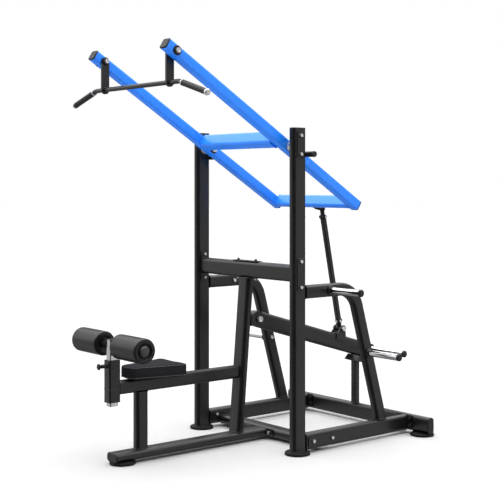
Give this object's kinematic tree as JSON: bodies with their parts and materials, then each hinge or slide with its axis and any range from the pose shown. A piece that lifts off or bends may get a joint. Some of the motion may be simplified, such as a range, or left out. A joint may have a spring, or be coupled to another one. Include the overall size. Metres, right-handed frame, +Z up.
{
  "type": "lat pulldown machine",
  "caption": "Free-standing lever lat pulldown machine with a hinged overhead arm frame and pull bar, a seat with thigh rollers, a weight lever and plate storage horns.",
  "frame": {"origin": "on the floor, midway between the two tall posts", "axes": "+X to the right of someone facing the back, across the machine; +Y to the back, where the plates hang; +Z up"},
  "size_m": [1.4206, 2.055, 2.249],
  "materials": {
    "black_powder_coat": "satin powder coat",
    "blue_powder_coat": "satin powder coat",
    "chrome": "polished",
    "zinc": "zinc plated",
    "plastic": "moulded",
    "rubber": "matt",
    "foam": "closed-cell foam skin",
    "vinyl": "upholstery vinyl"
  },
  "bodies": {
    "frame": {"front_base_beam": "black_powder_coat", "lower_crossbeam": "black_powder_coat", "side_rail_left": "black_powder_coat", "side_rail_right": "black_powder_coat", "rear_crossbeam": "black_powder_coat", "post_left": "black_powder_coat", "post_right": "black_powder_coat", "upper_crossbeam": "black_powder_coat", "slanted_column": "black_powder_coat", "seat_beam": "black_powder_coat", "seat_post": "black_powder_coat", "roller_sleeve": "black_powder_coat", "arch_left": "black_powder_coat", "arch_right": "black_powder_coat", "stop_stand": "black_powder_coat", "lever_yoke": "black_powder_coat", "lower_backing_plate_left": "black_powder_coat", "lower_backing_plate_right": "black_powder_coat", "pivot_plate_left": "black_powder_coat", "pivot_plate_right": "black_powder_coat", "seat_plate": "black_powder_coat", "stop_saddle": "black_powder_coat", "store_horn_upper_left": "chrome", "store_horn_upper_right": "chrome", "store_horn_lower_left": "chrome", "store_horn_lower_right": "chrome", "lever_bolt": "zinc", "arm_pivot_left": "zinc", "arm_pivot_right": "zinc", "front_beam_cap": "plastic", "rear_beam_cap_left": "plastic", "rear_beam_cap_right": "plastic", "post_cap_left": "plastic", "post_cap_right": "plastic", "foot_front": "rubber", "foot_middle_left": "rubber", "foot_middle_right": "rubber", "foot_rear_left": "rubber", "foot_rear_right": "rubber", "seat_cushion": "vinyl"},
    "roller_frame": {"roller_post": "chrome", "roller_axle": "zinc"},
    "pop_pin": {"pop_pin": "zinc"},
    "roller_left": {"roller_left": "foam"},
    "roller_right": {"roller_right": "foam"},
    "arm_frame": {"arm_left": "blue_powder_coat", "arm_right": "blue_powder_coat", "front_crossbar": "blue_powder_coat", "rear_crossbar": "blue_powder_coat", "rod_bracket": "black_powder_coat"},
    "pull_bar": {"hanger_left": "black_powder_coat", "hanger_right": "black_powder_coat", "pull_bar": "black_powder_coat", "grip_left": "rubber", "grip_right": "rubber"},
    "link_rod": {"link_rod": "black_powder_coat"},
    "weight_lever": {"weight_lever": "black_powder_coat", "lever_clevis": "black_powder_coat", "load_horn_left": "chrome", "load_horn_right": "chrome"}
  },
  "joints": [
    {"name": "arm_frame_hinge", "type": "hinge", "parent": "frame", "child": "arm_frame", "pos_m": [0, 0, 1.711], "axis": [1, 0, 0], "range_deg": [0, 42]},
    {"name": "weight_lever_hinge", "type": "hinge", "parent": "frame", "child": "weight_lever", "pos_m": [0, 0.065, 0.709], "axis": [1, 0, 0], "range_deg": [0, 42]},
    {"name": "link_rod_hinge", "type": "hinge", "parent": "arm_frame", "child": "link_rod", "pos_m": [0, 0.608, 1.298], "axis": [1, 0, 0], "range_deg": [-60, 0]},
    {"name": "pull_bar_hinge", "type": "hinge", "parent": "arm_frame", "child": "pull_bar", "pos_m": [0, -0.777, 2.19], "axis": [1, 0, 0], "range_deg": [-100, 40]},
    {"name": "roller_height_slide", "type": "slide", "parent": "frame", "child": "roller_frame", "axis": [0, 0, 1], "range_m": [-0.025, 0.125]},
    {"name": "pop_pin_pull", "type": "slide", "parent": "frame", "child": "pop_pin", "axis": [0, -1, 0], "range_m": [0, 0.014], "stiffness_N_per_m": 400, "springref_m": -0.004},
    {"name": "roller_left_spin", "type": "hinge", "parent": "roller_frame", "child": "roller_left", "pos_m": [0, -0.929, 0.643], "axis": [1, 0, 0], "continuous": true},
    {"name": "roller_right_spin", "type": "hinge", "parent": "roller_frame", "child": "roller_right", "pos_m": [0, -0.929, 0.643], "axis": [1, 0, 0], "continuous": true}
  ],
  "couplings": [
    {"joint": "weight_lever_hinge", "follows": "arm_frame_hinge", "ratio": 0.972},
    {"joint": "link_rod_hinge", "follows": "arm_frame_hinge", "ratio": -1.411}
  ]
}
